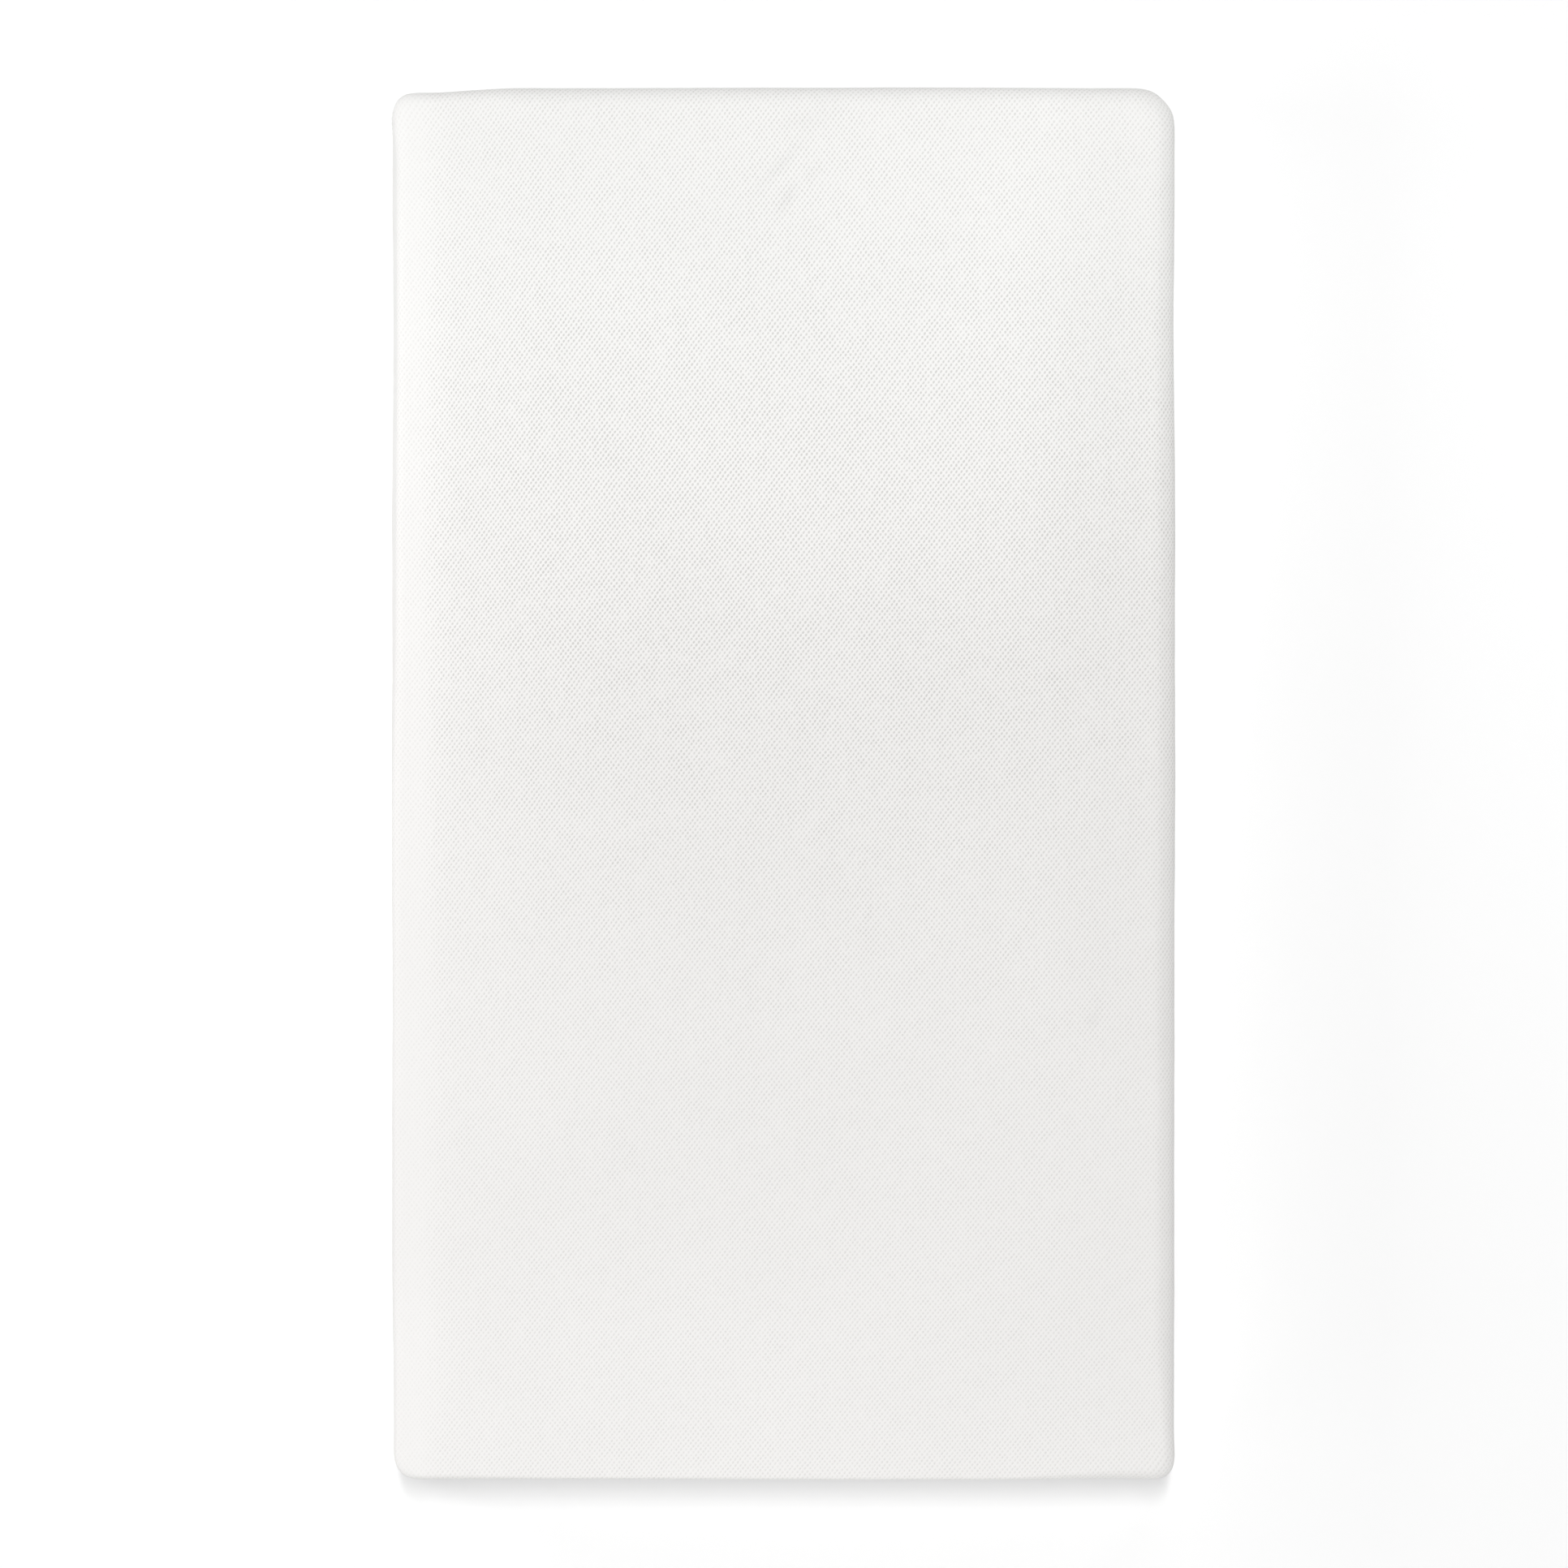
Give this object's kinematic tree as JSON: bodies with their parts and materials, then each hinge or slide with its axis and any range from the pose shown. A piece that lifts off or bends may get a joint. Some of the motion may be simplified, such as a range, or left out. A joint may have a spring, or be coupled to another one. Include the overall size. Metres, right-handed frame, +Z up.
{
  "type": "memory foam mattress",
  "caption": "Rectangular memory foam mattress in a white air-mesh cover with softly rounded edges, a flat base and a working zip on the foot end.",
  "frame": {"origin": "centre of the flat bottom face, at floor level", "axes": "+X across the width, +Y towards the head end (the zip is on the foot end, at -Y), +Z up towards the sleep face"},
  "size_m": [0.7116, 1.262, 0.13],
  "materials": {
    "air_mesh": "matte",
    "base_fabric": "matte",
    "seam_thread": "matte",
    "zip_tape": "matte",
    "zip_teeth": "satin",
    "zip_metal": "satin",
    "sock_knit": "matte",
    "memory_foam": "matte",
    "support_foam": "matte",
    "label_satin": "satin"
  },
  "bodies": {
    "mattress": {"cover_top_panel": "air_mesh", "cover_side_band": "air_mesh", "foot_strip_upper": "air_mesh", "foot_strip_lower": "air_mesh", "cover_bottom_panel": "base_fabric", "upper_seam": "seam_thread", "lower_seam": "seam_thread", "band_joint_left": "seam_thread", "band_joint_right": "seam_thread", "zip_tape_upper": "zip_tape", "zip_tape_lower": "zip_tape", "zip_teeth_upper": "zip_teeth", "zip_teeth_lower": "zip_teeth", "zip_top_stops": "zip_metal", "zip_bottom_stop": "zip_metal", "upper_zip_stitching": "seam_thread", "lower_zip_stitching": "seam_thread", "inner_sock": "sock_knit", "sock_end_seam": "sock_knit", "memory_foam": "memory_foam", "support_foam": "support_foam", "care_label": "label_satin"},
    "zip_slider": {"zip_slider": "zip_metal"},
    "zip_pull": {"zip_pull_tab": "zip_metal"}
  },
  "joints": [
    {"name": "zip_slide", "type": "slide", "parent": "mattress", "child": "zip_slider", "axis": [-1, 0, 0], "range_m": [0, 0.5411]},
    {"name": "pull_swing", "type": "hinge", "parent": "zip_slider", "child": "zip_pull", "pos_m": [0.27055, -0.62945, 0.0345], "axis": [0, 0, 1], "range_deg": [0, 180]}
  ]
}
